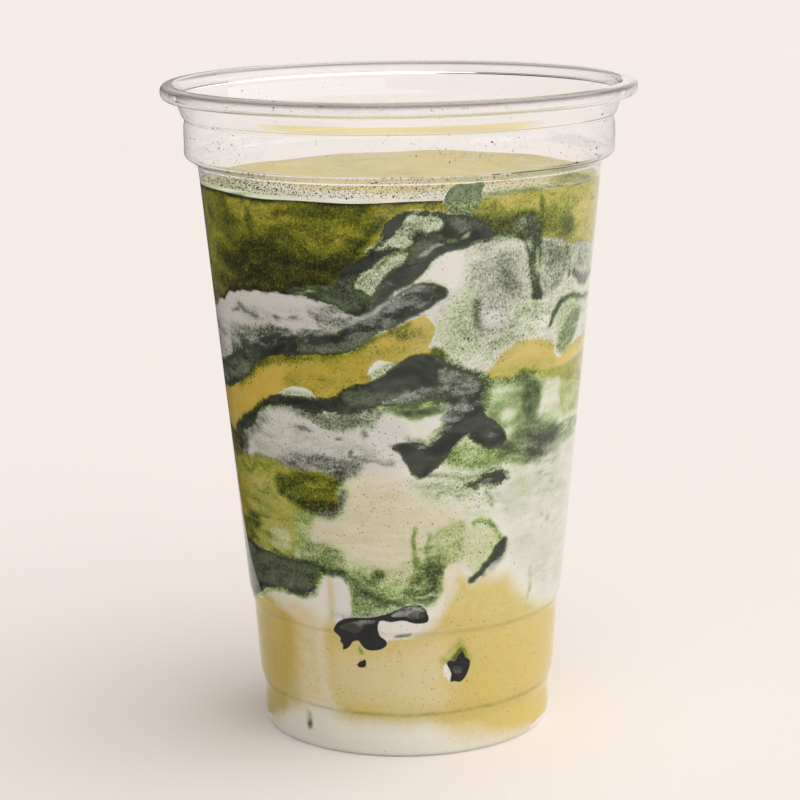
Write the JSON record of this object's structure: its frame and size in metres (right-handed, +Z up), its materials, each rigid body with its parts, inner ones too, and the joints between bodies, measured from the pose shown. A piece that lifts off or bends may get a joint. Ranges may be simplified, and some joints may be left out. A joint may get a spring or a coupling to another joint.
{
  "type": "marbled smoothie in a clear cup",
  "caption": "Thick marbled fruit and greens smoothie filling a clear tapered takeaway cup with a rolled rim, no lid.",
  "frame": {"origin": "centre of the circle that the cup's foot rests on", "axes": "+Z up along the cup's axis, -Y towards the side shown, +X to the right of that side"},
  "size_m": [0.098, 0.098, 0.136],
  "materials": {
    "cup": "clear PET, glossy",
    "smoothie": "thick moist puree, marbled in mustard yellow, creamy white and dark green"
  },
  "bodies": {
    "root": {"cup": "cup", "smoothie": "smoothie"}
  },
  "joints": []
}
